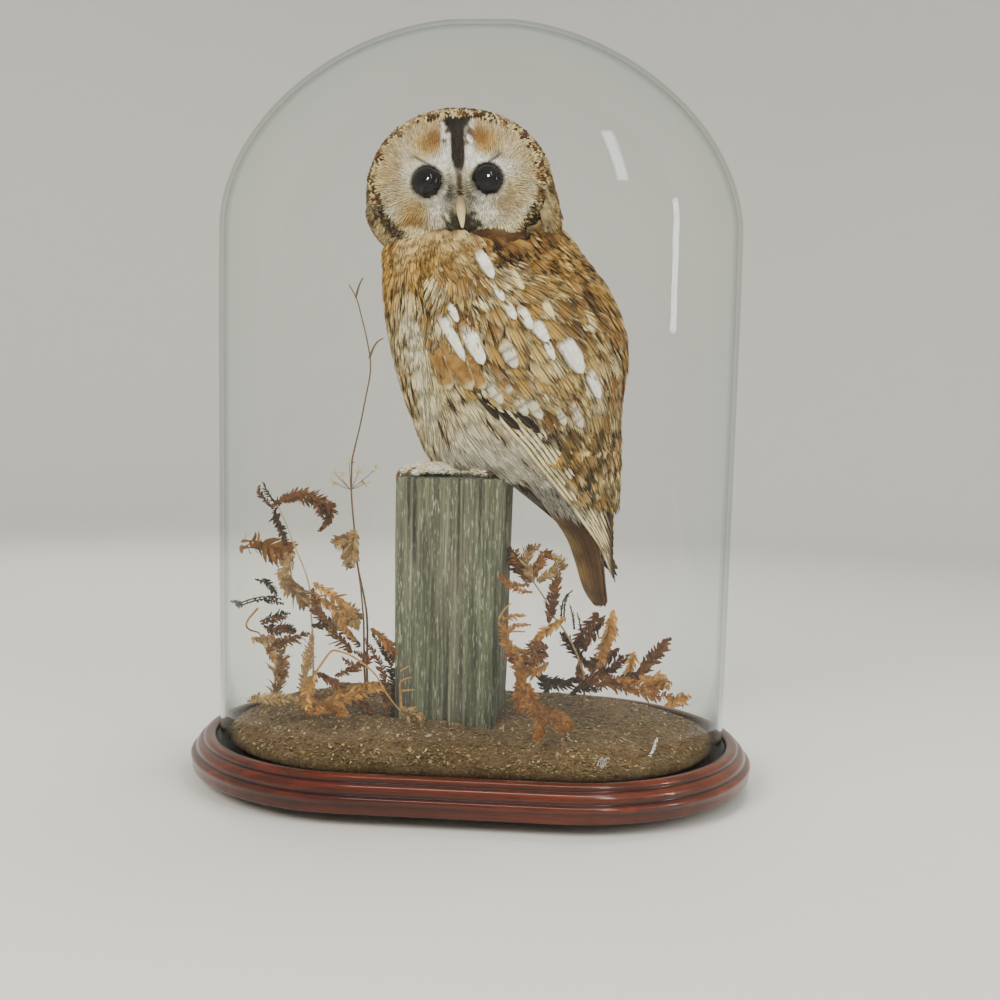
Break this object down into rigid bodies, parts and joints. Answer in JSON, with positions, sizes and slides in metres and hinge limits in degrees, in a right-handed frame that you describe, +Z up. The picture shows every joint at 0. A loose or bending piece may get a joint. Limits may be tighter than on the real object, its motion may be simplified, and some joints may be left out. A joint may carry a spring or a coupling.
{
  "type": "mounted owl",
  "caption": "Taxidermy tawny owl perched on a square weathered post among dried bracken, on a moulded oval mahogany base under a domed oval glass",
  "frame": {"origin": "middle of the base outline, at the level its four bun feet rest on", "axes": "+Z up, +X along the long side of the oval base, -Y the front that the owl's face looks to"},
  "size_m": [0.4096, 0.271, 0.544],
  "materials": {
    "mahogany": "french polished, glossy red-brown with dark grooves",
    "foot_wood": "dark polished turned wood",
    "dome_glass": "clear blown glass, faint grey-green at the edges",
    "post_wood": "weathered grey softwood with green algae, open grain",
    "soil": "matt brown soil and chaff on a plaster mound",
    "plumage": "soft matt feathers, rufous brown, cream and white with dark streaks",
    "leg_down": "short cream down",
    "claw": "brown horn, a little gloss",
    "eye_glass": "black glass eye, high gloss",
    "bill_horn": "pale yellowish horn, darker at the root",
    "bracken": "dried orange-brown bracken",
    "dry_stalk": "dry grey-brown stalk"
  },
  "bodies": {
    "root": {"base": "mahogany", "foot_1": "foot_wood", "foot_2": "foot_wood", "foot_3": "foot_wood", "foot_4": "foot_wood", "glass_dome": "dome_glass", "post": "post_wood", "ground": "soil", "head": "plumage", "neck": "plumage", "trunk": "plumage", "tail": "plumage", "wing_left": "plumage", "wing_right": "plumage", "leg_left": "leg_down", "leg_right": "leg_down", "claw_left_1": "claw", "claw_left_2": "claw", "claw_left_3": "claw", "claw_left_4": "claw", "claw_right_1": "claw", "claw_right_2": "claw", "claw_right_3": "claw", "claw_right_4": "claw", "eye_left": "eye_glass", "eye_right": "eye_glass", "bill": "bill_horn", "frond_pale": "bracken", "frond_dark": "bracken", "frond_fan": "bracken", "frond_hang": "bracken", "frond_arch": "bracken", "frond_low": "bracken", "frond_curl": "bracken", "frond_cluster": "bracken", "frond_red": "bracken", "frond_tall": "bracken", "frond_far": "bracken", "frond_spread": "bracken", "frond_front": "bracken", "umbel": "dry_stalk"}
  },
  "joints": []
}
